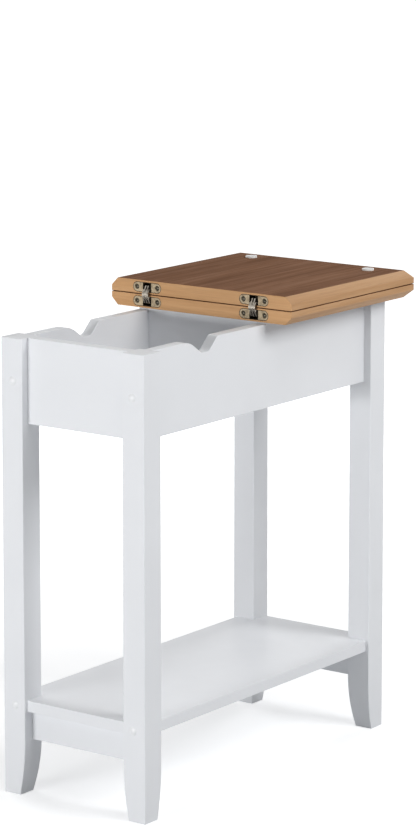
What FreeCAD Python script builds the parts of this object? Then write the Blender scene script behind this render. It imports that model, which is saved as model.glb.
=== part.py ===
"""End table with a flip top: painted legs and box, a low shelf, and a top that folds on concealed hinges.

X runs across the table, Y along it with the open front end at minus Y, Z up from the floor.
The top is modelled folded open: its front board lies on the fixed back board.
"""
import FreeCAD, Part
import math
import os
import re

import Sketcher
from FreeCAD import Placement, Rotation, Vector

# Driving sizes in millimetres
SIZES = {
    # Folding top
    "top_width": 290,
    "top_length": 572,
    "top_height": 610,
    "board_thick": 18,
    "bevel": 10,
    "board_easing": 1,
    "fold_gap": 0.6,
    # Legs
    "overhang_side": 32,
    "overhang_end": 21,
    "leg_side": 34,
    "leg_foot": 26,
    "taper_height": 70,
    "leg_easing": 1.2,
    # Storage box
    "panel_thick": 15,
    "panel_recess": 11,
    "box_depth": 109.5,
    "panel_easing": 0.8,
    "floor_thick": 6,
    "floor_rise": 10,
    "groove_depth": 5,
    "divider_thick": 15,
    "divider_setback": 4,
    "cleat_side": 20,
    # Cord notches in the box sides
    "notch_floor": 16,
    "notch_depth": 17,
    "notch_front_run": 25,
    "notch_back_run": 18,
    "notch_shoulder": 40,
    "notch_round": 12,
    "notch_lip": 4,
    "notch_from_fold": 125,
    # Bumpers under the folding board
    "bumper_height": 2.5,
    "bumper_diameter": 16,
    "bumper_easing": 0.7,
    # Low shelf and its rails
    "shelf_thick": 15,
    "shelf_top": 124,
    "shelf_inset": 5,
    "rail_height": 38,
    "rail_thick": 15,
    "rail_recess": 15,
    # Dowels
    "panel_dowel_diameter": 8,
    "panel_dowel_length": 32,
    "panel_dowel_inset": 25,
    "rail_dowel_diameter": 6,
    "rail_dowel_length": 28,
    "rail_dowel_inset": 8,
    "divider_dowel_diameter": 6,
    "divider_dowel_length": 24,
    "divider_dowel_inset": 22,
    # Leg bolts, their barrel nuts and caps
    "bolt_diameter": 6,
    "bolt_head_diameter": 9,
    "bolt_head_height": 4,
    "bolt_sink": 6,
    "bolt_reach": 26,
    "nut_diameter": 10,
    "nut_length": 12,
    "nut_setback": 18,
    "cap_diameter": 11.5,
    "cap_dome": 2,
    "cap_stem": 1.6,
    # Screws through the cleats
    "screw_diameter": 4,
    "screw_head_diameter": 8,
    "screw_head_height": 2.5,
    "screw_bite": 9,
    "screw_end_inset": 45,
    "screw_stagger": 16,
    # Concealed hinges
    "hinge_inset": 59,
    "leaf_length": 46,
    "leaf_height": 13.2,
    "leaf_thick": 2.2,
    "leaf_easing": 0.7,
    "leaf_drop": 9.3,
    "barrel_wall": 1.6,
    "pocket_lip": 3.3,
    "pocket_height": 11.9,
    "pocket_depth": 13.2,
    "pocket_side": 1.8,
    "link_thick": 1.7,
    "link_gap": 0.3,
    "link_width": 3.2,
    "pin_diameter": 1.6,
    "pivot_offset": 5.05,
    "arch_reach": 3,
    "arch_radius": 6.4,
    "tip_depth": 1.5,
    "tip_height": 10.5,
    "hinge_screw_spread": 33,
    "hinge_screw_diameter": 3,
    "hinge_screw_head": 6,
    "hinge_screw_length": 13,
    "hinge_screw_sink": 0.6,
    "recess_span": 3.2,
    "recess_width": 0.7,
    "recess_depth": 1.2,
    # Clearances
    "fit": 0.1,
    "overrun": 1,
}
LINK_PLATES = 5

document = FreeCAD.newDocument("FlipTopTable")
sheet = document.addObject("Spreadsheet::Sheet", "sizes")
for row, (size_name, size_value) in enumerate(SIZES.items(), start=1):
    sheet.set(f"A{row}", size_name)
    sheet.set(f"B{row}", str(size_value))
    sheet.setAlias(f"B{row}", size_name)
document.recompute()


def bind(text):
    """Write an expression on the sheet's cells from an expression on plain size names."""
    return re.sub(r"\b[a-z][a-z_]*[a-z]\b", lambda word: f"sizes.{word.group()}", str(text))


def value(text):
    """Work out an expression on size names."""
    return float(sheet.evalExpression(bind(text)))


# Main places, worked out from the driving sizes
FOLD_Y = "((cap_dome - overhang_end) / 2)"
FACE_Y = f"({FOLD_Y} + fold_gap / 2)"
BOARD_LENGTH = "(top_length / 2 - fold_gap / 2)"
SEAM_Z = "(top_height + fold_gap / 2)"
BOARD_LOW = "(top_height - board_thick)"
RIM_TOP = f"({BOARD_LOW} - bumper_height)"
LEG_X = "(top_width / 2 - overhang_side)"
LEG_REACH = "(top_length / 2 - overhang_end)"
FRONT_Y = f"({FOLD_Y} - {LEG_REACH})"
BACK_Y = f"({FOLD_Y} + {LEG_REACH})"
INNER_X = f"({LEG_X} - leg_side)"
PANEL_LOW = f"({RIM_TOP} - box_depth)"
PANEL_IN = "(panel_recess + panel_thick)"
FLOOR_LOW = f"({PANEL_LOW} + floor_rise)"
FLOOR_TOP = f"({FLOOR_LOW} + floor_thick)"
SHELF_LOW = "(shelf_top - shelf_thick)"
RAIL_LOW = f"({SHELF_LOW} - rail_height)"
DIVIDER_Y = f"({FACE_Y} + divider_setback)"
DIVIDER_BACK = f"({DIVIDER_Y} + divider_thick)"
BOLT_X = f"({LEG_X} - panel_recess - panel_thick / 2)"
BOLT_HEIGHTS = {"panel": f"({PANEL_LOW} + box_depth / 2)", "shelf": f"({SHELF_LOW} + shelf_thick / 2)"}
PACK_WIDTH = f"({LINK_PLATES} * link_thick + {LINK_PLATES + 1} * link_gap)"
POCKET_WIDTH = f"({PACK_WIDTH} + 2 * pocket_side)"
BARREL_WIDTH = f"({POCKET_WIDTH} + 2 * barrel_wall)"
BARREL_DEPTH = "(pocket_depth + barrel_wall)"

SIDES = {"left": -1, "right": 1}
ENDS = {"front": -1, "back": 1}
LEVELS = {"fixed": -1, "lid": 1}
# The rim of the open half is lower than the fixed board by the bumpers that the closed lid rests on
END_TOPS = {ENDS["front"]: RIM_TOP, ENDS["back"]: BOARD_LOW}
HINGE_X = {name: f"({sign} * (top_width / 2 - hinge_inset))" for name, sign in SIDES.items()}

QUARTER_TURN = 90
TURNS = {
    "+x": Rotation(Vector(0, 1, 0), QUARTER_TURN),
    "-x": Rotation(Vector(0, 1, 0), -QUARTER_TURN),
    "+y": Rotation(Vector(1, 0, 0), -QUARTER_TURN),
    "-y": Rotation(Vector(1, 0, 0), QUARTER_TURN),
    "+z": Rotation(),
    "-z": Rotation(Vector(1, 0, 0), 2 * QUARTER_TURN),
}


def end_y(sign, depth):
    """Y at a depth inwards from the outer face of the front legs or of the back legs."""
    return f"({FRONT_Y} + ({depth}))" if sign < 0 else f"({BACK_Y} - ({depth}))"


def put(item, base, **sizes):
    """Tie an object's place and sizes to the sheet."""
    for axis, text in zip("xyz", base):
        item.setExpression(f"Placement.Base.{axis}", bind(text))
    for name, text in sizes.items():
        item.setExpression(name, bind(text))
    return item


def box(name, low, size):
    item = document.addObject("Part::Box", name)
    return put(item, low, Length=size[0], Width=size[1], Height=size[2])


def span(name, x_ends, y_ends, z_ends):
    """Box between two ends on each axis."""
    ends = (x_ends, y_ends, z_ends)
    return box(name, [low for low, _ in ends], [f"({high}) - ({low})" for low, high in ends])


def rod(name, base, way, diameter, length):
    item = document.addObject("Part::Cylinder", name)
    item.Placement = Placement(Vector(), TURNS[way])
    return put(item, base, Radius=f"({diameter}) / 2", Height=length)


def cone(name, base, way, start_diameter, end_diameter, length):
    item = document.addObject("Part::Cone", name)
    item.Placement = Placement(Vector(), TURNS[way])
    return put(item, base, Radius1=f"({start_diameter}) / 2", Radius2=f"({end_diameter}) / 2", Height=length)


def fuse(name, items):
    if len(items) == 1:
        return items[0]
    item = document.addObject("Part::MultiFuse", name)
    item.Shapes = items
    return item


def group(label, items):
    item = document.addObject("Part::Compound", label)
    item.Links = items
    return item


def cut(label, base, tools):
    item = document.addObject("Part::Cut", label)
    item.Base = base
    item.Tool = fuse(f"{label}_tools", tools)
    return item


def body(name):
    return document.addObject("PartDesign::Body", name)


def sketch(owner, name, plane, offset):
    """Sketch on one of the body's own origin planes, moved along the plane's normal."""
    item = owner.newObject("Sketcher::SketchObject", name)
    support = next(part for part in owner.Origin.OriginFeatures if part.Role == plane)
    item.AttachmentSupport = [(support, "")]
    item.MapMode = "FlatFace"
    item.setExpression("AttachmentOffset.Base.z", bind(offset))
    return item


def tangent_arc(before, start, end):
    """Arc from start to end that leaves start in the direction of the edge before it."""
    heading = (start - before).normalize()
    normal = Vector(-heading.y, heading.x, 0)
    chord = end - start
    radius = chord.Length ** 2 / (2 * chord.dot(normal))
    centre = start + normal * radius
    circle = Part.Circle(centre, Vector(0, 0, 1), abs(radius))
    first, last = (start, end) if radius > 0 else (end, start)
    return Part.ArcOfCircle(circle, circle.parameter(first), circle.parameter(last)), radius > 0


def trace(item, corners, bends=()):
    """Closed outline through corners tied to the sheet; a bend is an arc tangent to the edge before it."""
    points = [Vector(value(across), value(up), 0) for across, up in corners]
    count = len(points)
    ends = []
    for index, start in enumerate(points):
        end = points[(index + 1) % count]
        if index in bends:
            arc, forward = tangent_arc(points[index - 1], start, end)
            item.addGeometry(arc)
            ends.append((1, 2) if forward else (2, 1))
        else:
            item.addGeometry(Part.LineSegment(start, end))
            ends.append((1, 2))
    for index in range(count):
        kind = "Tangent" if index in bends else "Coincident"
        previous = (index - 1) % count
        item.addConstraint(Sketcher.Constraint(kind, previous, ends[previous][1], index, ends[index][0]))
    for index, corner in enumerate(corners):
        for kind, axis, text, place in zip(("DistanceX", "DistanceY"), (-2, -1), corner, points[index]):
            if str(text) == "0":
                item.addConstraint(Sketcher.Constraint("PointOnObject", index, ends[index][0], axis))
                continue
            number = item.addConstraint(Sketcher.Constraint(kind, -1, 1, index, ends[index][0], place))
            item.setExpression(f"Constraints[{number}]", bind(text))


def pad(owner, name, profile, length):
    item = owner.newObject("PartDesign::Pad", name)
    item.Profile = profile
    item.setExpression("Length", bind(length))
    return item


def dress(owner, kind, name, base, chosen, size_property, size):
    """Fillet or chamfer on the edges of a feature that a test picks."""
    document.recompute()
    edges = [f"Edge{number}" for number, edge in enumerate(base.Shape.Edges, start=1) if chosen(edge)]
    item = owner.newObject(kind, name)
    item.Base = (base, edges)
    item.setExpression(size_property, bind(size))
    return item


def ease(name, base, chosen, radius):
    """Round over the edges of an object that a test picks."""
    document.recompute()
    size = value(radius)
    edges = enumerate(base.Shape.Edges, start=1)
    item = document.addObject("Part::Fillet", name)
    item.Base = base
    item.Edges = [(number, size, size) for number, edge in edges if chosen(edge)]
    return item


def runs_across(edge):
    return edge.BoundBox.XLength > value("overrun")


def bolt_tools(name, sign, side):
    """Stepped bores for the two bolts that pass through a leg, and what lies behind it."""
    tools = []
    for level, height in BOLT_HEIGHTS.items():
        way = "+y" if sign < 0 else "-y"
        place = (f"{side} * {BOLT_X}", end_y(sign, "-overrun"), height)
        sink = "bolt_sink + overrun"
        through = "leg_side + 2 * overrun"
        tools.append(rod(f"{name}_{level}_sink", place, way, "bolt_head_diameter + 2 * fit", sink))
        tools.append(rod(f"{name}_{level}_bore", place, way, "bolt_diameter + 2 * fit", through))
    return tools


def dowel_places(end_sign):
    """Heights, depths and sizes of the dowels in one end of a panel and of a rail."""
    panel_depth = "panel_recess + panel_thick / 2"
    rail_depth = "rail_recess + rail_thick / 2"
    panel_heights = (f"{PANEL_LOW} + panel_dowel_inset", f"{RIM_TOP} - panel_dowel_inset")
    rail_heights = (f"{RAIL_LOW} + rail_dowel_inset", f"{SHELF_LOW} - rail_dowel_inset")
    places = [("panel", end_y(end_sign, panel_depth), height) for height in panel_heights]
    return places + [("rail", end_y(end_sign, rail_depth), height) for height in rail_heights]


def dowel_bores(name, end_sign, side, kinds):
    """Blind bores, half in the leg and half in the piece that the dowel joins to it."""
    bores = []
    for number, (kind, along, height) in enumerate(dowel_places(end_sign), start=1):
        if kind in kinds:
            length = f"{kind}_dowel_length + 2 * fit"
            diameter = f"{kind}_dowel_diameter + 2 * fit"
            start = (f"{side} * {INNER_X} - ({length}) / 2", along, height)
            bores.append(rod(f"{name}_dowel_bore_{number}", start, "+x", diameter, length))
    return bores


def leg(end_name, side_name):
    """Square leg whose two inner faces curve in towards a smaller foot."""
    end_sign = ENDS[end_name]
    side = SIDES[side_name]
    label = f"{end_name}_{side_name}_leg"
    top = END_TOPS[end_sign]

    def profile(outer, inward):
        return (
            (outer, "0"),
            (outer, top),
            (f"{outer} + {inward} * leg_side", top),
            (f"{outer} + {inward} * leg_side", "taper_height"),
            (f"{outer} + {inward} * leg_foot", "0"),
        )

    across = body(f"{label}_across")
    low_y = end_y(end_sign, "0") if end_sign < 0 else end_y(end_sign, "leg_side")
    across_sketch = sketch(across, f"{label}_across_outline", "XZ_Plane", f"-({low_y}) - leg_side")
    trace(across_sketch, profile(f"{side} * {LEG_X}", -side), bends=(3,))
    pad(across, f"{label}_across_pad", across_sketch, "leg_side")
    along = body(f"{label}_along")
    low_x = f"-{LEG_X}" if side < 0 else INNER_X
    along_sketch = sketch(along, f"{label}_along_outline", "YZ_Plane", low_x)
    trace(along_sketch, profile(end_y(end_sign, "0"), -end_sign), bends=(3,))
    pad(along, f"{label}_along_pad", along_sketch, "leg_side")
    blank = document.addObject("Part::Common", f"{label}_blank")
    blank.Base = across
    blank.Tool = along
    near_top = value(f"{top} - overrun")

    def shows(edge):
        return edge.BoundBox.ZLength > value("leg_side / 2") or edge.BoundBox.ZMin > near_top

    eased = ease(f"{label}_eased", blank, shows, "leg_easing")
    bores = bolt_tools(label, end_sign, side) + dowel_bores(label, end_sign, side, ("panel", "rail"))
    return cut(label, eased, bores)


def floor_groove(name):
    """Room for the box floor, cut into all four box panels."""
    reach = f"{PANEL_IN} - groove_depth - fit"
    x_ends = (f"-({LEG_X} - ({reach}))", f"{LEG_X} - ({reach})")
    y_ends = (end_y(-1, reach), end_y(1, reach))
    return span(name, x_ends, y_ends, (f"{FLOOR_LOW} - fit", f"{FLOOR_TOP} + fit"))


def end_panel(end_name):
    """Front or back panel of the box, between two legs."""
    end_sign = ENDS[end_name]
    label = f"{end_name}_panel"
    depths = ("panel_recess", PANEL_IN) if end_sign < 0 else (PANEL_IN, "panel_recess")
    y_ends = [end_y(end_sign, depth) for depth in depths]
    blank = span(f"{label}_blank", (f"-{INNER_X}", INNER_X), y_ends, (PANEL_LOW, END_TOPS[end_sign]))
    eased = ease(f"{label}_eased", blank, runs_across, "panel_easing")
    bores = [floor_groove(f"{label}_groove")]
    for side_name, side in SIDES.items():
        bores += dowel_bores(f"{label}_{side_name}", end_sign, side, ("panel",))
    return cut(label, eased, bores)


def side_panel(side_name):
    """Side panel of the box: high under the fixed board, with a cord notch in the rim of the open half."""
    side = SIDES[side_name]
    label = f"{side_name}_side_panel"
    owner = body(f"{label}_blank")
    low_x = f"({LEG_X} - {PANEL_IN})" if side > 0 else f"(panel_recess - {LEG_X})"
    outline = sketch(owner, f"{label}_outline", "YZ_Plane", low_x)
    notch_y = f"({FOLD_Y} - notch_from_fold)"
    notch_low = f"({RIM_TOP} - notch_depth)"
    floor_back = f"{notch_y} + notch_floor / 2"
    floor_front = f"{notch_y} - notch_floor / 2"
    front = end_y(-1, "leg_side")
    back = end_y(1, "leg_side")
    corners = (
        (front, PANEL_LOW),
        (back, PANEL_LOW),
        (back, BOARD_LOW),
        (DIVIDER_Y, BOARD_LOW),
        (DIVIDER_Y, RIM_TOP),
        (f"{floor_back} + notch_back_run", RIM_TOP),
        (floor_back, notch_low),
        (floor_front, notch_low),
        (f"{floor_front} - notch_front_run", RIM_TOP),
        (front, RIM_TOP),
    )
    lip, bottoms, shoulder = corners[5:6], corners[6:8], corners[8:9]
    trace(outline, corners)
    rounded = pad(owner, f"{label}_pad", outline, "panel_thick")
    near = value("overrun") / 2
    high = value(BOARD_LOW) - near

    def at_corners(chosen):
        places = [(value(across), value(up)) for across, up in chosen]

        def lies_there(edge):
            middle = edge.BoundBox.Center
            across = edge.BoundBox.XLength > near
            return across and any(math.hypot(middle.y - y, middle.z - z) < near for y, z in places)

        return lies_there

    def outlines_face(edge):
        ends = edge.BoundBox
        return ends.XLength < near and ends.YLength > near and ends.ZMin < high

    rounds = {"notch_shoulder": shoulder, "notch_round": bottoms, "notch_lip": lip}
    for radius, chosen in rounds.items():
        name = f"{label}_{radius}"
        rounded = dress(owner, "PartDesign::Fillet", name, rounded, at_corners(chosen), "Radius", radius)
    dress(owner, "PartDesign::Fillet", f"{label}_easing", rounded, outlines_face, "Radius", "panel_easing")
    tools = [floor_groove(f"{label}_groove")]
    for end_name, end_sign in ENDS.items():
        way = "+y" if end_sign < 0 else "-y"
        bolt_x = f"{side} * {BOLT_X}"
        start = (bolt_x, end_y(end_sign, "leg_side - overrun"), BOLT_HEIGHTS["panel"])
        bore = "bolt_reach + fit + overrun"
        tools.append(rod(f"{label}_{end_name}_bolt_bore", start, way, "bolt_diameter + 2 * fit", bore))
        nut_x = f"{side} * ({LEG_X} - {PANEL_IN} - overrun)"
        nut_place = (nut_x, end_y(end_sign, "leg_side + nut_setback"), BOLT_HEIGHTS["panel"])
        nut_way = "+x" if side > 0 else "-x"
        depth = "panel_thick / 2 + nut_length / 2 + fit + overrun"
        tools.append(rod(f"{label}_{end_name}_nut_bore", nut_place, nut_way, "nut_diameter + 2 * fit", depth))
    tools += cleat_screw_bores(f"{label}_cleat", side, "panel")
    tools += divider_dowel_bores(label, side)
    return cut(label, owner, tools)


def divider_dowel_heights():
    return (f"{FLOOR_TOP} + divider_dowel_inset", f"{RIM_TOP} - divider_dowel_inset")


def divider_dowel_rods(name, side, clearance):
    """Dowels, or the bores that take them, across the joint of the divider and a side panel."""
    length = f"divider_dowel_length + 2 * {clearance}"
    along = f"{DIVIDER_Y} + divider_thick / 2"
    start = f"{side} * ({LEG_X} - {PANEL_IN}) - ({length}) / 2"
    diameter = f"divider_dowel_diameter + 2 * {clearance}"
    return [
        rod(f"{name}_{number}", (start, along, height), "+x", diameter, length)
        for number, height in enumerate(divider_dowel_heights(), start=1)
    ]


def divider_dowel_bores(name, side):
    return divider_dowel_rods(f"{name}_divider_bore", side, "fit")


def box_floor():
    """Thin floor of the box, let into grooves in the panels and notched round the legs."""
    reach = f"({PANEL_IN} - groove_depth)"
    x_ends = (f"-({LEG_X} - {reach})", f"{LEG_X} - {reach}")
    blank = span("box_floor_blank", x_ends, (end_y(-1, reach), end_y(1, reach)), (FLOOR_LOW, FLOOR_TOP))
    return cut("box_floor", blank, leg_notches("box_floor", FLOOR_LOW, FLOOR_TOP, "fit"))


def leg_notches(name, low, high, clearance):
    """Square corners taken out of a board where the four legs pass it."""
    notches = []
    for end_name, end_sign in ENDS.items():
        for side_name, side in SIDES.items():
            near = f"{INNER_X} - {clearance}"
            far = f"{LEG_X} + overrun"
            x_ends = (near, far) if side > 0 else (f"-({far})", f"-({near})")
            depths = ("-overrun", f"leg_side + {clearance}")
            depths = depths if end_sign < 0 else depths[::-1]
            y_ends = [end_y(end_sign, depth) for depth in depths]
            z_ends = (f"{low} - overrun", f"{high} + overrun")
            notches.append(span(f"{name}_{end_name}_{side_name}_notch", x_ends, y_ends, z_ends))
    return notches


def divider():
    """Wall across the box under the fold, which carries the front edge of the fixed board."""
    reach = f"({LEG_X} - {PANEL_IN})"
    blank = span("divider_blank", (f"-{reach}", reach), (DIVIDER_Y, DIVIDER_BACK), (FLOOR_TOP, BOARD_LOW))
    eased = ease("divider_eased", blank, runs_across, "panel_easing")
    bores = []
    for side_name, side in SIDES.items():
        bores += divider_dowel_bores(f"divider_{side_name}", side)
    return cut("divider", eased, bores)


def cleat_screw_places(side):
    """Start and way of each cleat screw: across into the box side, and up into the fixed board."""
    inner = f"({LEG_X} - {PANEL_IN})"
    face = f"{side} * ({inner} - cleat_side)"
    middle = f"{side} * ({inner} - cleat_side / 2)"
    low = f"{BOARD_LOW} - cleat_side"
    rows = []
    for end_name, along in cleat_screw_rows().items():
        across = (face, along, f"{BOARD_LOW} - cleat_side / 2")
        upward = (middle, f"{along} + screw_stagger", low)
        rows.append((end_name, "panel", across, "+x" if side > 0 else "-x"))
        rows.append((end_name, "board", upward, "+z"))
    return rows


def cleat_screw_rows():
    return {
        "front": f"{DIVIDER_BACK} + screw_end_inset",
        "back": f"{end_y(1, PANEL_IN)} - screw_end_inset - screw_stagger",
    }


def cleat_screw_bores(name, side, kind):
    """Bores for the screws that end in the box side or in the fixed board."""
    bores = []
    for end_name, target, start, way in cleat_screw_places(side):
        if target == kind:
            length = "cleat_side + screw_bite + fit"
            diameter = "screw_diameter + 2 * fit"
            bores.append(rod(f"{name}_{end_name}_{target}_bore", start, way, diameter, length))
    return bores


def top_cleat(side_name):
    """Strip along the inside of the box that the fixed board is screwed to."""
    side = SIDES[side_name]
    label = f"{side_name}_top_cleat"
    inner = f"({LEG_X} - {PANEL_IN})"
    near = f"{inner} - cleat_side"
    x_ends = (near, inner) if side > 0 else (f"-{inner}", f"-({near})")
    y_ends = (DIVIDER_BACK, end_y(1, "leg_side + fit"))
    blank = span(f"{label}_blank", x_ends, y_ends, (f"{BOARD_LOW} - cleat_side", BOARD_LOW))
    across = cleat_screw_bores(f"{label}_across", side, "panel")
    upward = cleat_screw_bores(f"{label}_up", side, "board")
    return cut(label, blank, across + upward)


def cleat_screws():
    """Screws that hold the cleats to the box sides, and the fixed board to the cleats."""
    screws = []
    for side_name, side in SIDES.items():
        for end_name, target, start, way in cleat_screw_places(side):
            name = f"{side_name}_{end_name}_{target}_screw"
            back = {"+x": "-x", "-x": "+x", "+z": "-z"}[way]
            shank = rod(f"{name}_shank", start, way, "screw_diameter", "cleat_side + screw_bite")
            head = rod(f"{name}_head", start, back, "screw_head_diameter", "screw_head_height")
            screws.append(fuse(name, [shank, head]))
    return group("cleat_screws", screws)


def lower_rail(end_name):
    """Rail between two legs under one end of the shelf."""
    end_sign = ENDS[end_name]
    label = f"{end_name}_lower_rail"
    depths = ("rail_recess", "rail_recess + rail_thick")
    depths = depths if end_sign < 0 else depths[::-1]
    y_ends = [end_y(end_sign, depth) for depth in depths]
    blank = span(f"{label}_blank", (f"-{INNER_X}", INNER_X), y_ends, (RAIL_LOW, SHELF_LOW))
    eased = ease(f"{label}_eased", blank, runs_across, "panel_easing")
    bores = []
    for side_name, side in SIDES.items():
        bores += dowel_bores(f"{label}_{side_name}", end_sign, side, ("rail",))
    return cut(label, eased, bores)


def lower_shelf():
    """Shelf notched round the four legs and bolted to them through its notch faces."""
    x_ends = (f"shelf_inset - {LEG_X}", f"{LEG_X} - shelf_inset")
    y_ends = (end_y(-1, "shelf_inset"), end_y(1, "shelf_inset"))
    blank = span("lower_shelf_blank", x_ends, y_ends, (SHELF_LOW, "shelf_top"))

    def lies_level(edge):
        return edge.BoundBox.ZLength < value("overrun")

    eased = ease("lower_shelf_eased", blank, lies_level, "panel_easing")
    tools = leg_notches("lower_shelf", SHELF_LOW, "shelf_top", "0")
    for end_name, end_sign in ENDS.items():
        for side_name, side in SIDES.items():
            name = f"lower_shelf_{end_name}_{side_name}"
            way = "+y" if end_sign < 0 else "-y"
            bolt_x = f"{side} * {BOLT_X}"
            start = (bolt_x, end_y(end_sign, "leg_side - overrun"), BOLT_HEIGHTS["shelf"])
            bore = "bolt_reach + fit + overrun"
            tools.append(rod(f"{name}_bolt_bore", start, way, "bolt_diameter + 2 * fit", bore))
            nut_place = (bolt_x, end_y(end_sign, "leg_side + nut_setback"), f"{SHELF_LOW} - overrun")
            depth = "shelf_thick / 2 + nut_length / 2 + fit + overrun"
            tools.append(rod(f"{name}_nut_bore", nut_place, "+z", "nut_diameter + 2 * fit", depth))
    return cut("lower_shelf", eased, tools)


def bolt_rows():
    """Name, side, end and level of each of the eight leg bolts."""
    return [
        (f"{end_name}_{side_name}_{level}", SIDES[side_name], ENDS[end_name], level)
        for end_name in ENDS
        for side_name in SIDES
        for level in BOLT_HEIGHTS
    ]


def leg_bolts():
    """Bolts sunk in the outer end faces of the legs."""
    bolts = []
    for name, side, end_sign, level in bolt_rows():
        way = "+y" if end_sign < 0 else "-y"
        bolt_x = f"{side} * {BOLT_X}"
        head_place = (bolt_x, end_y(end_sign, "bolt_sink - bolt_head_height"), BOLT_HEIGHTS[level])
        head = rod(f"{name}_bolt_head", head_place, way, "bolt_head_diameter", "bolt_head_height")
        shank_place = (bolt_x, end_y(end_sign, "bolt_sink"), BOLT_HEIGHTS[level])
        length = "leg_side + bolt_reach - bolt_sink"
        shank = rod(f"{name}_bolt_shank", shank_place, way, "bolt_diameter", length)
        bolts.append(fuse(f"{name}_bolt", [head, shank]))
    return group("leg_bolts", bolts)


def barrel_nuts():
    """Cross nuts that the leg bolts screw into, in the box sides and in the shelf."""
    nuts = []
    for name, side, end_sign, level in bolt_rows():
        along = end_y(end_sign, "leg_side + nut_setback")
        bolt_x = f"{side} * {BOLT_X}"
        height = BOLT_HEIGHTS[level]
        half = "nut_length / 2"
        if level == "panel":
            way, low = "+x", (f"{bolt_x} - {half}", along, height)
        else:
            way, low = "+z", (bolt_x, along, f"{height} - {half}")
        blank = rod(f"{name}_nut_blank", low, way, "nut_diameter", "nut_length")
        start = (bolt_x, f"{along} - nut_diameter", height)
        thread = rod(f"{name}_nut_thread", start, "+y", "bolt_diameter + 2 * fit", "2 * nut_diameter")
        nuts.append(cut(f"{name}_nut", blank, [thread]))
    return group("barrel_nuts", nuts)


def bolt_caps():
    """Domed caps pressed over the sunk bolt heads."""
    caps = []
    for name, side, end_sign, level in bolt_rows():
        inward, outward = ("+y", "-y") if end_sign < 0 else ("-y", "+y")
        face = (f"{side} * {BOLT_X}", end_y(end_sign, "0"), BOLT_HEIGHTS[level])
        stem = rod(f"{name}_cap_stem", face, inward, "bolt_head_diameter", "cap_stem")
        ball = document.addObject("Part::Sphere", f"{name}_cap_ball")
        ball_radius = "(cap_diameter * cap_diameter / 4 + cap_dome * cap_dome) / (2 * cap_dome)"
        put(ball, (face[0], end_y(end_sign, f"{ball_radius} - cap_dome"), face[2]), Radius=ball_radius)
        collar = rod(f"{name}_cap_collar", face, outward, "cap_diameter + 2 * overrun", "cap_dome + overrun")
        dome = document.addObject("Part::Common", f"{name}_cap_dome")
        dome.Base = ball
        dome.Tool = collar
        caps.append(fuse(f"{name}_cap", [stem, dome]))
    return group("bolt_caps", caps)


def dowels(kind):
    """Dowels of one kind at all four corners of the frame."""
    pins = []
    for end_name, end_sign in ENDS.items():
        for side_name, side in SIDES.items():
            for number, (place_kind, along, height) in enumerate(dowel_places(end_sign), start=1):
                if place_kind == kind:
                    start = (f"{side} * {INNER_X} - {kind}_dowel_length / 2", along, height)
                    name = f"{end_name}_{side_name}_{kind}_dowel_{number}"
                    pins.append(rod(name, start, "+x", f"{kind}_dowel_diameter", f"{kind}_dowel_length"))
    return group(f"{kind}_dowels", pins)


def divider_dowels():
    """Dowels between the divider and the box sides."""
    pins = []
    for side_name, side in SIDES.items():
        pins += divider_dowel_rods(f"{side_name}_divider_dowel", side, "0")
    return group("divider_dowels", pins)


def leaf_solids(name, hinge_x, level, clearance):
    """Round-ended plate and barrel of a hinge leaf, or with a clearance the mortise that takes it."""
    middle = f"({SEAM_Z} + {level} * leaf_drop)"
    height = f"(leaf_height + 2 * {clearance})"
    straight = "(leaf_length - leaf_height)"
    start_y = f"({FACE_Y} - overrun)" if clearance != "0" else FACE_Y
    plate_depth = f"({FACE_Y} + leaf_thick + {clearance} - {start_y})"
    barrel_depth = f"({FACE_Y} + {BARREL_DEPTH} + {clearance} - {start_y})"
    low_z = f"{middle} - {height} / 2"
    barrel = f"({BARREL_WIDTH} + 2 * {clearance})"
    blocks = {"plate": (straight, plate_depth, height), "barrel": (barrel, barrel_depth, height)}
    solids = [
        box(f"{name}_{block}", (f"{hinge_x} - {size[0]} / 2", start_y, low_z), size)
        for block, size in blocks.items()
    ]
    for side_name, side in SIDES.items():
        place = (f"{hinge_x} + {side} * {straight} / 2", start_y, middle)
        solids.append(rod(f"{name}_{side_name}_end", place, "+y", height, plate_depth))
    return solids


def hinge_screw_places(hinge_x, level):
    middle = f"{SEAM_Z} + {level} * leaf_drop"
    return {
        name: (f"{hinge_x} + {side} * hinge_screw_spread / 2", FACE_Y, middle)
        for name, side in SIDES.items()
    }


def hinge_leaf(side_name, level_name):
    """Hinge leaf: countersunk plate with a rounded rim, and a barrel with an open pocket for the links."""
    level = LEVELS[level_name]
    hinge_x = HINGE_X[side_name]
    label = f"{side_name}_{level_name}_leaf"
    blank = fuse(f"{label}_blank", leaf_solids(label, hinge_x, level, "0"))
    blank.Refine = True
    front = value(f"{FACE_Y} + leaf_thick / 2")
    eased = ease(f"{label}_eased", blank, lambda edge: edge.BoundBox.YMax < front, "leaf_easing")
    near = f"{SEAM_Z} + {level} * pocket_lip"
    far = f"{SEAM_Z} + {level} * (pocket_lip + pocket_height)"
    z_ends = (near, far) if level > 0 else (far, near)
    x_ends = (f"{hinge_x} - {POCKET_WIDTH} / 2", f"{hinge_x} + {POCKET_WIDTH} / 2")
    tools = [span(f"{label}_pocket", x_ends, (f"{FACE_Y} - overrun", f"{FACE_Y} + pocket_depth"), z_ends)]
    tools.append(pivot_rod(f"{label}_pivot_bore", hinge_x, level, "fit"))
    for name, place in hinge_screw_places(hinge_x, level).items():
        sink = "(hinge_screw_head - hinge_screw_diameter) / 2 + hinge_screw_sink"
        wide = "hinge_screw_head + 2 * hinge_screw_sink + 2 * fit"
        narrow = "hinge_screw_diameter + 2 * fit"
        tools.append(cone(f"{label}_{name}_sink", place, "+y", wide, narrow, sink))
        tools.append(rod(f"{label}_{name}_bore", place, "+y", narrow, "leaf_thick + overrun"))
    return cut(label, eased, tools)


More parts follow.
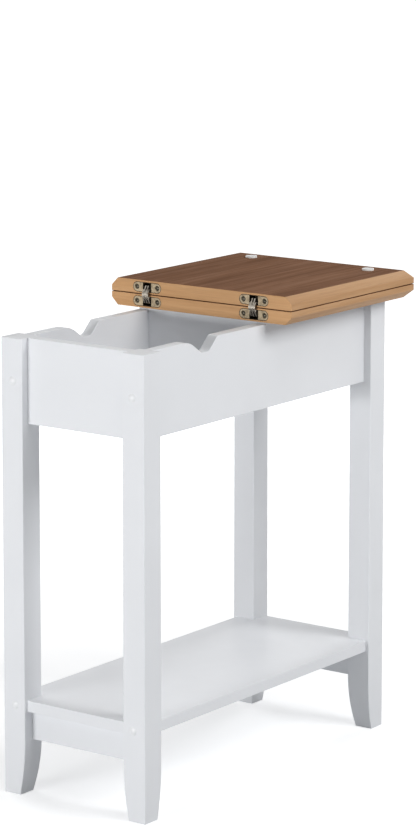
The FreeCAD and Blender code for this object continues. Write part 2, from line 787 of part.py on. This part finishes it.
def pivot_rod(name, hinge_x, level, clearance):
    """Pivot pin across a leaf's pocket, or with a clearance the bore for it."""
    length = f"({POCKET_WIDTH} + barrel_wall)"
    start = (f"{hinge_x} - {length} / 2", f"{FOLD_Y} + pivot_offset", f"{SEAM_Z} + {level} * pivot_offset")
    return rod(name, start, "+x", f"pin_diameter + 2 * {clearance}", length)


def pivot_pins(level_name):
    level = LEVELS[level_name]
    pins = [pivot_rod(f"{name}_{level_name}_pivot", place, level, "0") for name, place in HINGE_X.items()]
    return group(f"{level_name}_pivot_pins", pins)


def cross_recess(name, place):
    """Two crossed slots in a screw's head."""
    across, along, up = place
    sizes = {"level": ("recess_span", "recess_width"), "upright": ("recess_width", "recess_span")}
    slots = []
    for way, (width, height) in sizes.items():
        low = (f"{across} - {width} / 2", f"{along} - overrun", f"{up} - {height} / 2")
        slots.append(box(f"{name}_{way}_slot", low, (width, "recess_depth + overrun", height)))
    return slots


def hinge_screws(level_name):
    """Countersunk screws, their heads a little below the leaves that they hold in a board's edge."""
    screws = []
    for side_name, hinge_x in HINGE_X.items():
        for name, (across, face, up) in hinge_screw_places(hinge_x, LEVELS[level_name]).items():
            label = f"{side_name}_{level_name}_{name}_screw"
            place = (across, f"{face} + hinge_screw_sink", up)
            sink = "(hinge_screw_head - hinge_screw_diameter) / 2"
            head = cone(f"{label}_head", place, "+y", "hinge_screw_head", "hinge_screw_diameter", sink)
            shank = rod(f"{label}_shank", place, "+y", "hinge_screw_diameter", "hinge_screw_length")
            screws.append(cut(label, fuse(f"{label}_blank", [head, shank]), cross_recess(label, place)))
    return group(f"{level_name}_hinge_screws", screws)


def link_plate(level, slot_travel):
    """One arched link in the YZ plane, seen from the fold axis: pivot eye, arch in front of the seam, tip.

    A link with no slot travel carries the centre pin; the others have a slot that the pin slides in.
    """
    pivot = Vector(0, value("pivot_offset"), level * value("pivot_offset"))
    tip = Vector(0, value("tip_depth"), -level * value("tip_height"))
    reach = value("arch_reach")
    radius = value("arch_radius")
    centre = Vector(0, radius - reach, 0)
    apex = Vector(0, -reach, 0)

    def on_arch(point):
        return centre + (point - centre).normalize() * radius

    # The arch leaves for the tip along its own tangent
    to_tip = tip - centre
    tangent_angle = math.acos(radius / to_tip.Length)
    tip_angle = math.atan2(to_tip.z, to_tip.y)
    angle = tip_angle - level * tangent_angle
    leave = centre + Vector(0, math.cos(angle), math.sin(angle)) * radius
    arrive = on_arch(Vector(0, 0, level * (abs(pivot.z) + value("link_width") / 2)))
    path = Part.Wire([
        Part.LineSegment(pivot, arrive).toShape(),
        Part.Arc(arrive, apex, leave).toShape(),
        Part.LineSegment(leave, tip).toShape(),
    ])
    outline = path.makeOffset2D(value("link_width / 2"), 0, False, False, False)
    plate = Part.Face(outline).extrude(Vector(value("link_thick"), 0, 0))
    sideways = Vector(1, 0, 0)
    pin_room = value("pin_diameter / 2 + fit")
    depth = value("link_thick")
    plate = plate.cut(Part.makeCylinder(pin_room, depth, pivot, sideways))
    ends = [apex, apex + Vector(0, 0, slot_travel)]
    slot = Part.makeCylinder(pin_room, depth, ends[0], sideways)
    if slot_travel:
        low = Vector(0, -reach - pin_room, min(0, slot_travel))
        run = Part.makeBox(depth, 2 * pin_room, abs(slot_travel), low)
        slot = slot.fuse([Part.makeCylinder(pin_room, depth, ends[1], sideways), run])
    return plate.cut(slot)


def link_set(label, level, plates, slot_travel):
    """The plates of one set in both hinges, at their places in the pack."""
    pitch = value("link_thick + link_gap")
    start = value(f"link_gap - {PACK_WIDTH} / 2")
    solids = []
    for hinge_x in HINGE_X.values():
        for plate in plates:
            solid = link_plate(level, slot_travel)
            solid.translate(Vector(value(hinge_x) + start + plate * pitch, value(FOLD_Y), value(SEAM_Z)))
            solids.append(solid)
    item = document.addObject("Part::Feature", label)
    item.Shape = Part.makeCompound(solids)
    return item


def centre_pins():
    """Pins that join the two link sets in front of the seam."""
    length = f"({PACK_WIDTH} - 2 * link_gap)"
    pins = [
        rod(f"{name}_centre_pin", (f"{place} - {length} / 2", f"{FOLD_Y} - arch_reach", SEAM_Z), "+x",
            "pin_diameter", length)
        for name, place in HINGE_X.items()
    ]
    return group("centre_pins", pins)


def top_board(label, level_name, low):
    """Half of the top, bevelled round its three free edges on the side away from the seam."""
    level = LEVELS[level_name]
    owner = body(f"{label}_blank")
    outline = sketch(owner, f"{label}_outline", "XY_Plane", low)
    half = "top_width / 2"
    back = f"{FACE_Y} + {BOARD_LENGTH}"
    trace(outline, ((f"-{half}", FACE_Y), (half, FACE_Y), (half, back), (f"-{half}", back)))
    block = pad(owner, f"{label}_pad", outline, "board_thick")
    bevel_z = value(f"{low} + board_thick") if level > 0 else value(low)
    fold_face = value(FACE_Y)
    near = value("overrun") / 2

    def bevelled(edge):
        points = [vertex.Point for vertex in edge.Vertexes]
        level_edge = all(abs(point.z - bevel_z) < near for point in points)
        return level_edge and any(abs(point.y - fold_face) > near for point in points)

    bevel = dress(owner, "PartDesign::Chamfer", f"{label}_bevel", block, bevelled, "Size", "bevel")
    dress(owner, "PartDesign::Fillet", f"{label}_easing", bevel, lambda edge: True, "Radius", "board_easing")
    tools = []
    for side_name, hinge_x in HINGE_X.items():
        name = f"{label}_{side_name}_mortise"
        tools += leaf_solids(name, hinge_x, level, "fit")
        for screw, place in hinge_screw_places(hinge_x, level).items():
            length = "hinge_screw_sink + hinge_screw_length + fit"
            tools.append(rod(f"{name}_{screw}_pilot", place, "+y", "hinge_screw_diameter + 2 * fit", length))
    if level < 0:
        for side_name, side in SIDES.items():
            tools += cleat_screw_bores(f"{label}_{side_name}", side, "board")
    return cut(label, owner, tools)


def lid_bumpers():
    """Round pads on the folding board that rest on the front legs when the top is closed."""
    top = f"{SEAM_Z} + fold_gap / 2 + board_thick"
    along = f"{FOLD_Y} + {LEG_REACH} - leg_side / 2"
    pads = []
    for name, side in SIDES.items():
        across = f"{side} * ({LEG_X} - leg_side / 2)"
        blank = rod(f"{name}_bumper_blank", (across, along, top), "+z", "bumper_diameter", "bumper_height")
        crown = value(f"{top} + bumper_height / 2")
        pads.append(ease(f"{name}_bumper", blank, lambda edge: edge.BoundBox.ZMin > crown, "bumper_easing"))
    return group("lid_bumpers", pads)


def build():
    pieces = [leg(end_name, side_name) for end_name in ENDS for side_name in SIDES]
    pieces += [end_panel(name) for name in ENDS]
    pieces += [side_panel(name) for name in SIDES]
    pieces += [box_floor(), divider()]
    pieces += [lower_rail(name) for name in ENDS]
    pieces += [lower_shelf()]
    pieces += [top_cleat(name) for name in SIDES]
    pieces += [cleat_screws(), leg_bolts(), barrel_nuts(), bolt_caps()]
    pieces += [dowels("panel"), dowels("rail"), divider_dowels()]
    pieces += [top_board("fixed_top", "fixed", BOARD_LOW)]
    pieces += [top_board("flip_top", "lid", f"{SEAM_Z} + fold_gap / 2")]
    pieces += [lid_bumpers()]
    pieces += [hinge_leaf(side, level) for side in SIDES for level in LEVELS]
    for level_name in LEVELS:
        pieces += [hinge_screws(level_name), pivot_pins(level_name)]
    # The two sets part by this much along the arch at half travel
    slip = value("2 * pivot_offset") * (math.sqrt(2) - 1)
    pieces += [link_set("lower_links", LEVELS["fixed"], (1, 3), 0)]
    pieces += [link_set("upper_links", LEVELS["lid"], (0, 2, 4), -slip)]
    pieces += [centre_pins()]
    return pieces


def write(pieces):
    document.recompute()
    for item in document.Objects:
        if {"Invalid", "Error"} & set(item.State):
            raise RuntimeError(f"{item.Name} failed: {item.State}")
    for item in pieces:
        if item.Shape.isNull() or not item.Shape.isValid():
            raise RuntimeError(f"{item.Label} has no sound shape")
    os.makedirs("parts", exist_ok=True)
    for item in pieces:
        item.Shape.exportStep(f"parts/{item.Label}.step")
        solids = item.Shape.Solids
        print(item.Label, len(solids), round(sum(solid.Volume for solid in solids)))


write(build())
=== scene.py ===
"""Looks of the flip top end table: painted frame, wooden boards, aged hinges, studio light and camera."""
import math

import bpy
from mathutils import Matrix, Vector


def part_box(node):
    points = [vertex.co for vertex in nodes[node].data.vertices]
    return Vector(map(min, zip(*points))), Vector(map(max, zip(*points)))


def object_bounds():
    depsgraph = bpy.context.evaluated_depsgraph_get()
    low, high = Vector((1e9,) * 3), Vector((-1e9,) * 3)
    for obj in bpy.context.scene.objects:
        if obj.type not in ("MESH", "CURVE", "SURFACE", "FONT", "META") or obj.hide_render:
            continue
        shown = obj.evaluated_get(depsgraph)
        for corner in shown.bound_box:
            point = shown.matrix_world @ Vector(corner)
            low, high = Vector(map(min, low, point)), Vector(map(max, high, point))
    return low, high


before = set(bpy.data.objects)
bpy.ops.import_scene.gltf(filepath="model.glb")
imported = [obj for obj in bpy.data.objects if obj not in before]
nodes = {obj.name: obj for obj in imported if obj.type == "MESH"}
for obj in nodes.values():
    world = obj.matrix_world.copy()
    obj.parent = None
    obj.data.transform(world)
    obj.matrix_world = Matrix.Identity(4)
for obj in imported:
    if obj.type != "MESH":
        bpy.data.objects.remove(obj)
cad_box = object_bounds()
scene = bpy.context.scene
scene.view_settings.view_transform = "Standard"

# Camera, in metres and degrees
CAMERA_PLACE = Vector((2.4628, -3.3195, 1.2889))
CAMERA_YAW = 36.50
CAMERA_PITCH = 8.42
CAMERA_LENS_MM = 140.1
CAMERA_SHIFT = -0.2
RIGHT_ANGLE = 90

# Lamps, all aimed at the middle of the table: places and sizes in metres, powers in watts
MIDDLE = (cad_box[0] + cad_box[1]) / 2
LAMPS = {
    "front": {"place": (-0.6, -3.0, 0.58), "width": 1.2, "height": 0.2, "power": 47.5},
    "high": {"place": (1.3, -0.9, 2.7), "width": 1.2, "height": 1.2, "power": 12.0},
    "right": {"place": (2.6, 0.3, 2.2), "width": 1.4, "height": 1.4, "power": 55.5},
    "left": {"place": (-2.9, 0.9, 1.2), "width": 1.4, "height": 1.4, "power": 34.0},
    "back": {"place": (-0.3, 2.9, 1.0), "width": 0.8, "height": 1.4, "power": 24.0},
}

# World: its light on the table, and its strength where it is seen
WORLD_LIGHT = 0.14
WORLD_SEEN = 1.0

# Floor: lengths in metres, and how far it is lifted to white near the table and away from it
FLOOR_SIZE = 60.0
NEAR_FLOOR = 0.5
FAR_FLOOR = 2.0
NEAR_LIFT = 0.5
FAR_LIFT = 1.0
FLOOR_ROUGHNESS = 0.9
FLOOR_GLOSS = 0.0

# Colours, linear
OPAQUE = 1
WHITE = (1, 1, 1)
FLOOR_WHITE = (0.69, 0.70, 0.712)
PAINT = (0.785, 0.798, 0.822)
PAINT_SHADE = (0.76, 0.773, 0.797)
FACE_DARK = (0.15, 0.068, 0.033)
FACE_MIDDLE = (0.22, 0.106, 0.056)
FACE_LIGHT = (0.285, 0.146, 0.081)
EDGE_DARK = (0.456, 0.254, 0.121)
EDGE_MIDDLE = (0.512, 0.298, 0.15)
EDGE_LIGHT = (0.546, 0.329, 0.175)
# Fold face: the edge wood painted paler, as painted light on the face towards the front lamp
FOLD_PAINTED_LIT_DARK = (0.53, 0.285, 0.125)
FOLD_PAINTED_LIT_MIDDLE = (0.595, 0.335, 0.155)
FOLD_PAINTED_LIT_LIGHT = (0.635, 0.37, 0.18)
BARE_DARK = (0.50, 0.34, 0.19)
BARE_LIGHT = (0.66, 0.48, 0.29)
PLATE_DARK = (0.19, 0.15, 0.10)
PLATE_LIGHT = (0.29, 0.235, 0.16)
# Near-black painted shade on the hinge plates, along their rim and in their pocket
PLATE_SHADE_DARK = (0.025, 0.02, 0.013)
PLATE_SHADE_LIGHT = (0.06, 0.048, 0.032)
# Screw heads: dark metal as painted shade, standing for the shade of the countersink
SCREW_SHADE_DARK = (0.022, 0.019, 0.013)
SCREW_SHADE_LIGHT = (0.05, 0.044, 0.033)
# Bright metal of the pins, also used as a painted highlight in the screw recesses
PIN_AND_HIGHLIGHT_DARK = (0.30, 0.275, 0.225)
PIN_AND_HIGHLIGHT_LIGHT = (0.46, 0.42, 0.35)
LINK_DARK = (0.16, 0.14, 0.115)
LINK_LIGHT = (0.46, 0.42, 0.36)
STEEL_DARK = (0.42, 0.42, 0.43)
STEEL_LIGHT = (0.62, 0.62, 0.63)
CAP_WHITE = (0.82, 0.83, 0.845)
BUMPER_WHITE = (0.86, 0.86, 0.845)

# Kinds of wood: dark, middle and light colour, and how rough, glossy and finely pitted each one is
FACE_WOOD = {
    "colours": (FACE_DARK, FACE_MIDDLE, FACE_LIGHT), "roughness": 0.62, "gloss": 0.015, "pore_shade": 0.78,
}
EDGE_WOOD = {
    "colours": (EDGE_DARK, EDGE_MIDDLE, EDGE_LIGHT), "roughness": 0.5, "gloss": 0.2, "pore_shade": 0.9,
}
# The fold face's wood is a paler copy of the edge wood: painted light
FOLD_WOOD_PAINTED_LIT = {
    "colours": (FOLD_PAINTED_LIT_DARK, FOLD_PAINTED_LIT_MIDDLE, FOLD_PAINTED_LIT_LIGHT), "roughness": 0.5, "gloss": 0.2, "pore_shade": 0.9,
}
BARE_WOOD = {
    "colours": (BARE_DARK, BARE_LIGHT, BARE_LIGHT), "roughness": 0.6, "gloss": 0.3, "pore_shade": 0.8,
}

# Texture scales, in waves per metre; a pair is along the grain and across it, for a noise left unscaled
PAINT_CLOUDS = 7.0
PAINT_PATCHES = 45.0
PAINT_GRAIN = (30.0, 700.0)
PAINT_PEEL = 650.0
WOOD_BANDS = (1.4, 16.0)
WOOD_STREAKS = (5.0, 150.0)
WOOD_PORES = (22.0, 950.0)
METAL_PATINA = 260.0
METAL_SPECKS = 1500.0
PLASTIC_CLOUDS = 120.0
PLASTIC_TEXTURE = 2600.0
UNSCALED = 1.0

# Octaves of noise, how rough they are, and how far wood grain wanders
PLAIN_DETAIL = 1.0
SOFT_DETAIL = 2.0
FINE_DETAIL = 4.0
EVEN_NOISE = 0.5
RAGGED_NOISE = 0.6
BAND_WANDER = 1.6
STREAK_WANDER = 0.4

# Stretch of a noise over which one tone changes into the next
CLOUD_STOPS = (0.35, 0.65)
PATCH_STOPS = (0.3, 0.7)
FIGURE_STOPS = (0.34, 0.5, 0.66)
PORE_STOPS = (0.34, 0.46)
PATINA_STOPS = (0.32, 0.58)
SPECK_STOPS = (0.3, 0.55)
MIDDLE_STOP = 0.5

# Shares and changes of tone
FULL = 1.0
STREAK_SHARE = 0.55
SPECK_SHADE = 0.7
PLASTIC_SHADE = 0.97
PAINT_ROUGHNESS = (0.33, 0.42)
WOOD_ROUGHER = 0.07
WOOD_SMOOTHER = 0.04
METAL_ROUGHER = 0.15
PLASTIC_ROUGHER = 0.05

# Relief: strength, and depth in metres
GRAIN_RELIEF = (0.12, 0.00015)
PEEL_RELIEF = (0.10, 0.0001)
PORE_RELIEF = (0.25, 0.00012)
SPECK_RELIEF = (0.2, 0.00005)
MOULD_RELIEF = (0.15, 0.00004)

# Upright part of a face's normal from which it counts as flat, or as the round of the show face
FLAT = 0.9
ROUNDED = 0.5

# Lengths on the hinges, in metres
# Bounds of painted marks: shade along a plate's rim and behind its front, highlight behind a screw head's
# front
RIM_WIDTH = 0.00075
PLATE_FRONT = 0.0022
RECESS_FRONT = 0.0002

# Sockets of the colour mix, whose names repeat
MIX_INPUTS = (0, 6, 7)
MIX_RESULT = 2


class Surface:
    """A material under construction: its node tree, its main shader and its place on the object."""

    def __init__(self, name):
        self.material = bpy.data.materials.new(name)
        self.material.use_nodes = True
        self.tree = self.material.node_tree
        self.shader = self.tree.nodes["Principled BSDF"]
        self.place = self.tree.nodes.new("ShaderNodeTexCoord").outputs["Object"]

    def feed(self, socket, entry):
        """Link another socket to this one, or give it a colour or a number."""
        if isinstance(entry, bpy.types.NodeSocket):
            self.tree.links.new(entry, socket)
        else:
            socket.default_value = entry

    def add(self, kind, **inputs):
        made = self.tree.nodes.new(kind)
        for name, entry in inputs.items():
            self.feed(made.inputs[name], entry)
        return made

    def set(self, name, entry):
        self.feed(self.shader.inputs[name], entry)

    def stretched(self, along, scales):
        """Place on the object, scaled apart along the grain and across it."""
        with_grain, across_grain = scales
        factors = [with_grain if axis == along else across_grain for axis in "xyz"]
        return self.add("ShaderNodeMapping", Vector=self.place, Scale=factors).outputs["Vector"]

    def noise(self, place, scale, detail=SOFT_DETAIL, roughness=EVEN_NOISE, distortion=0.0):
        made = self.add("ShaderNodeTexNoise", Vector=place, Scale=scale, Detail=detail, Roughness=roughness,
                        Distortion=distortion)
        return made.outputs["Fac"]

    def grain(self, along, scales, **settings):
        """Noise drawn out along the grain."""
        return self.noise(self.stretched(along, scales), UNSCALED, **settings)

    def ramp(self, factor, stops, tones):
        """Colours, or greys, at stops along a factor from 0 to 1."""
        made = self.add("ShaderNodeValToRGB", Fac=factor)
        elements = made.color_ramp.elements
        while len(elements) < len(stops):
            elements.new(MIDDLE_STOP)
        for element, position, tone in zip(elements, stops, tones):
            element.position = position
            element.color = (*tone, OPAQUE) if hasattr(tone, "__len__") else (tone, tone, tone, OPAQUE)
        return made.outputs["Color"]

    def mix(self, factor, first, second, blend="MIX"):
        made = self.tree.nodes.new("ShaderNodeMix")
        made.data_type = "RGBA"
        made.blend_type = blend
        for index, entry in zip(MIX_INPUTS, (factor, first, second)):
            self.feed(made.inputs[index], entry)
        return made.outputs[MIX_RESULT]

    def bump(self, height, relief, under=None):
        """Normal of a fine relief, laid over another one where that is given."""
        strength, depth = relief
        made = self.add("ShaderNodeBump", Height=height, Strength=strength, Distance=depth)
        if under is not None:
            self.feed(made.inputs["Normal"], under)
        return made.outputs["Normal"]


def paint(name, along):
    """Sprayed satin white: faint clouds of tone, orange peel, and the grain of the wood just showing."""
    surface = Surface(name)
    clouds = surface.noise(surface.place, PAINT_CLOUDS)
    surface.set("Base Color", surface.ramp(clouds, CLOUD_STOPS, (PAINT_SHADE, PAINT)))
    patches = surface.noise(surface.place, PAINT_PATCHES)
    surface.set("Roughness", surface.ramp(patches, PATCH_STOPS, PAINT_ROUGHNESS))
    relief = surface.bump(surface.grain(along, PAINT_GRAIN), GRAIN_RELIEF)
    peel = surface.noise(surface.place, PAINT_PEEL, detail=PLAIN_DETAIL)
    surface.set("Normal", surface.bump(peel, PEEL_RELIEF, under=relief))
    return surface.material


def wood(name, along, colours, roughness, gloss, pore_shade):
    """Wood whose grain runs along one axis: wandering bands, streaks, and fine pores darker by a shade."""
    surface = Surface(name)
    bands = surface.grain(along, WOOD_BANDS, distortion=BAND_WANDER)
    streaks = surface.grain(along, WOOD_STREAKS, detail=FINE_DETAIL, roughness=RAGGED_NOISE,
                            distortion=STREAK_WANDER)
    pores = surface.grain(along, WOOD_PORES)
    tone = surface.ramp(surface.mix(STREAK_SHARE, bands, streaks), FIGURE_STOPS, colours)
    pits = surface.ramp(pores, PORE_STOPS, (pore_shade, FULL))
    surface.set("Base Color", surface.mix(FULL, tone, pits, "MULTIPLY"))
    dull_and_bright = (roughness + WOOD_ROUGHER, roughness - WOOD_SMOOTHER)
    surface.set("Roughness", surface.ramp(streaks, CLOUD_STOPS, dull_and_bright))
    surface.set("Specular IOR Level", gloss)
    surface.set("Normal", surface.bump(pits, PORE_RELIEF))
    return surface.material


def metal(name, dark, light, roughness):
    """Aged metal: darker patina in soft patches, scuffs that shine a little more."""
    surface = Surface(name)
    patina = surface.noise(surface.place, METAL_PATINA, detail=FINE_DETAIL, roughness=RAGGED_NOISE)
    specks = surface.noise(surface.place, METAL_SPECKS)
    colour = surface.ramp(patina, PATINA_STOPS, (dark, light))
    shade = surface.ramp(specks, SPECK_STOPS, (SPECK_SHADE, FULL))
    surface.set("Base Color", surface.mix(FULL, colour, shade, "MULTIPLY"))
    surface.set("Metallic", FULL)
    surface.set("Roughness", surface.ramp(patina, CLOUD_STOPS, (roughness + METAL_ROUGHER, roughness)))
    surface.set("Normal", surface.bump(specks, SPECK_RELIEF))
    return surface.material


def plastic(name, colour, roughness):
    """Moulded plastic with a faint spark-eroded texture."""
    surface = Surface(name)
    clouds = surface.noise(surface.place, PLASTIC_CLOUDS)
    shade = tuple(PLASTIC_SHADE * channel for channel in colour)
    surface.set("Base Color", surface.ramp(clouds, CLOUD_STOPS, (shade, colour)))
    surface.set("Roughness", surface.ramp(clouds, CLOUD_STOPS, (roughness + PLASTIC_ROUGHER, roughness)))
    texture = surface.noise(surface.place, PLASTIC_TEXTURE, detail=PLAIN_DETAIL)
    surface.set("Normal", surface.bump(texture, MOULD_RELIEF))
    return surface.material


def dress(names, *materials, choose=None):
    """Give pieces their materials; where there are several, choose gives each polygon the number of one."""
    for name in names:
        mesh = nodes[name].data
        mesh.materials.clear()
        for material in materials:
            mesh.materials.append(material)
        if choose is not None:
            for polygon in mesh.polygons:
                polygon.material_index = choose(polygon)


def dress_board(name, show_side):
    """Brown faces, round the eased edge on the show side, lighter edges along the grain, and a fold face in a
    paler copy of the edge wood: painted light.
    """

    def choose(polygon):
        across, along, up = polygon.normal
        if abs(up) > FLAT or up * show_side > ROUNDED:
            return 0
        if abs(across) > abs(along):
            return 1
        # Faces towards -y, the fold face, take the paler copy of the edge wood: painted light
        return 2 if along > 0 else 3

    dress([name], WOOD_FACE, WOOD_EDGE_LONG, WOOD_EDGE_SHORT, WOOD_FOLD_PAINTED_LIT, choose=choose)


def dress_leaf(name):
    """Pale plate, with painted shade along its rim and inside its pocket."""
    low, high = (Vector(corner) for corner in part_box(name))
    middle = (low + high) / 2
    radius = (high.z - low.z) / 2
    straight = (high.x - low.x) / 2 - radius

    def choose(polygon):
        place = polygon.center
        reach = math.hypot(max(abs(place.x - middle.x) - straight, 0), place.z - middle.z)
        # The rim and the pocket behind the plate's front take the painted shade
        return 1 if reach > radius - RIM_WIDTH or place.y > low.y + PLATE_FRONT else 0

    dress([name], PLATE, PLATE_PAINTED_SHADE, choose=choose)


def dress_screws(name):
    """Heads darkened as painted shade, with their cross recess made bright as a painted highlight."""
    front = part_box(name)[0][1]
    # Behind the head's front, in the cross recess, a painted highlight; the front takes the painted shade
    dress([name], SCREW_HEAD_PAINTED_SHADE, PINS_AND_RECESS_HIGHLIGHT,
          choose=lambda polygon: 1 if polygon.center.y > front + RECESS_FRONT else 0)


WOOD_FACE = wood("walnut_face", "y", **FACE_WOOD)
WOOD_EDGE_LONG = wood("tan_edge_long", "y", **EDGE_WOOD)
WOOD_EDGE_SHORT = wood("tan_edge_short", "x", **EDGE_WOOD)
WOOD_FOLD_PAINTED_LIT = wood("tan_fold_painted_lit", "x", **FOLD_WOOD_PAINTED_LIT)
PLATE = metal("hinge_plate", PLATE_DARK, PLATE_LIGHT, roughness=0.42)
# Painted shade for the rims and pockets of the hinge plates
PLATE_PAINTED_SHADE = metal("hinge_painted_shade", PLATE_SHADE_DARK, PLATE_SHADE_LIGHT, roughness=0.5)
# Screw heads in painted shade, and pin metal that also paints a highlight in their recesses
SCREW_HEAD_PAINTED_SHADE = metal("screw_head_painted_shade", SCREW_SHADE_DARK, SCREW_SHADE_LIGHT, roughness=0.42)
PINS_AND_RECESS_HIGHLIGHT = metal("pin_metal_and_recess_highlight", PIN_AND_HIGHLIGHT_DARK, PIN_AND_HIGHLIGHT_LIGHT, roughness=0.36)

LEGS = [f"{end}_{side}_leg" for end in ("front", "back") for side in ("left", "right")]
ENDS = ["front_panel", "back_panel", "divider", "front_lower_rail", "back_lower_rail"]
LENGTHWAYS = ["left_side_panel", "right_side_panel", "box_floor", "lower_shelf"]
LEAVES = [f"{side}_{level}_leaf" for side in ("left", "right") for level in ("fixed", "lid")]
# Where the upper face of the closed top looks on each board while the top lies open: 1 is up, -1 is down
SHOW_SIDES = {"fixed_top": 1, "flip_top": -1}
dress(LEGS, paint("paint_legs", "z"))
dress(ENDS, paint("paint_ends", "x"))
dress(LENGTHWAYS, paint("paint_lengthways", "y"))
dress(["left_top_cleat", "right_top_cleat"], wood("cleat_wood", "y", **BARE_WOOD))
dress(["panel_dowels", "rail_dowels", "divider_dowels"], wood("dowel_wood", "x", **BARE_WOOD))
dress(["cleat_screws", "leg_bolts", "barrel_nuts"],
      metal("plated_steel", STEEL_DARK, STEEL_LIGHT, roughness=0.3))
dress(["bolt_caps"], plastic("cap_plastic", CAP_WHITE, roughness=0.32))
dress(["lid_bumpers"], plastic("bumper_plastic", BUMPER_WHITE, roughness=0.4))
# The pins' own bright metal, the same one that paints the highlight in the screw recesses
dress(["fixed_pivot_pins", "lid_pivot_pins", "centre_pins"], PINS_AND_RECESS_HIGHLIGHT)
dress(["lower_links", "upper_links"], metal("link_metal", LINK_DARK, LINK_LIGHT, roughness=0.33))
for board, show_side in SHOW_SIDES.items():
    dress_board(board, show_side)
for leaf in LEAVES:
    dress_leaf(leaf)
for screws in ("fixed_hinge_screws", "lid_hinge_screws"):
    dress_screws(screws)


def area_light(name, place, width, height, power):
    """Rectangular lamp aimed at the middle of the table."""
    lamp = bpy.data.lights.new(name, "AREA")
    lamp.shape = "RECTANGLE"
    lamp.size = width
    lamp.size_y = height
    lamp.energy = power
    item = bpy.data.objects.new(name, lamp)
    item.location = place
    item.rotation_euler = (MIDDLE - item.location).to_track_quat("-Z", "Y").to_euler()
    scene.collection.objects.link(item)


def calculate(tree, operation, first, second):
    """Value that a math node works out from two sockets."""
    made = tree.nodes.new("ShaderNodeMath")
    made.operation = operation
    tree.links.new(first, made.inputs[0])
    tree.links.new(second, made.inputs[1])
    return made.outputs["Value"]


def seen_directly(tree):
    """1 for rays from the camera and in reflections and glass, 0 for the light that reaches the object."""
    path = tree.nodes.new("ShaderNodeLightPath")
    total = path.outputs["Is Camera Ray"]
    for name in ("Is Glossy Ray", "Is Transmission Ray"):
        total = calculate(tree, "MAXIMUM", total, path.outputs[name])
    return total


def studio_world():
    """White where it is seen, and a dim even light on the object."""
    world = bpy.data.worlds.new("studio")
    scene.world = world
    world.use_nodes = True
    tree = world.node_tree
    background = tree.nodes["Background"]
    background.inputs["Color"].default_value = (*WHITE, OPAQUE)
    strength = tree.nodes.new("ShaderNodeMapRange")
    strength.inputs["To Min"].default_value = WORLD_LIGHT
    strength.inputs["To Max"].default_value = WORLD_SEEN
    tree.links.new(seen_directly(tree), strength.inputs["Value"])
    tree.links.new(strength.outputs["Result"], background.inputs["Strength"])


def studio_floor():
    """Pale floor, lifted to white where it is seen: less near the object, so that its shadow stays."""
    half = FLOOR_SIZE / 2
    mesh = bpy.data.meshes.new("floor")
    corners = [(-half, -half, 0), (half, -half, 0), (half, half, 0), (-half, half, 0)]
    mesh.from_pydata(corners, [], [(0, 1, 2, 3)])
    floor = bpy.data.objects.new("floor", mesh)
    scene.collection.objects.link(floor)
    surface = Surface("floor_white")
    surface.set("Base Color", (*FLOOR_WHITE, OPAQUE))
    surface.set("Roughness", FLOOR_ROUGHNESS)
    surface.set("Specular IOR Level", FLOOR_GLOSS)
    surface.set("Emission Color", (*WHITE, OPAQUE))
    distance = surface.tree.nodes.new("ShaderNodeVectorMath")
    distance.operation = "LENGTH"
    surface.feed(distance.inputs[0], surface.place)
    spread = {"From Min": NEAR_FLOOR, "From Max": FAR_FLOOR, "To Min": NEAR_LIFT, "To Max": FAR_LIFT}
    lift = surface.add("ShaderNodeMapRange", Value=distance.outputs["Value"], **spread)
    glow = calculate(surface.tree, "MULTIPLY", seen_directly(surface.tree), lift.outputs["Result"])
    surface.set("Emission Strength", glow)
    mesh.materials.append(surface.material)


studio_world()
studio_floor()
for lamp_name, settings in LAMPS.items():
    area_light(lamp_name, **settings)

camera = bpy.data.cameras.new("camera")
camera.lens = CAMERA_LENS_MM
camera.shift_y = CAMERA_SHIFT
camera_object = bpy.data.objects.new("camera", camera)
camera_object.location = CAMERA_PLACE
camera_object.rotation_euler = (math.radians(RIGHT_ANGLE - CAMERA_PITCH), 0, math.radians(CAMERA_YAW))
scene.collection.objects.link(camera_object)
scene.camera = camera_object
